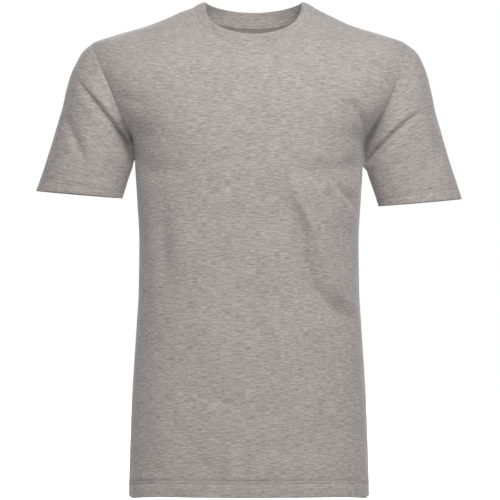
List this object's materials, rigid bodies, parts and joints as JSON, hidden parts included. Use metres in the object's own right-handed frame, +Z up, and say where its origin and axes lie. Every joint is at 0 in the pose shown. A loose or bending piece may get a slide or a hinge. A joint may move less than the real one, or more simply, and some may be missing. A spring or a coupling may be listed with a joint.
{
  "type": "crew neck t-shirt",
  "caption": "Short-sleeved crew neck t-shirt in grey marl jersey, hollow and filled out as worn, open at neck, cuffs and hem.",
  "frame": {"origin": "midway between the shoulders, at the height of the two neck points, where the wearer's shoulders hold the shirt", "axes": "+Z up towards the neck, +X to the wearer's left, the front of the shirt faces -Y"},
  "size_m": [0.6282, 0.2368, 0.7285],
  "materials": {
    "jersey": "matt grey marl single jersey with fine streaks along its courses",
    "rib": "matt grey marl 1x1 rib knit"
  },
  "bodies": {
    "root": {"front_panel": "jersey", "back_panel": "jersey", "left_sleeve": "jersey", "right_sleeve": "jersey", "neckband": "rib"}
  },
  "joints": []
}
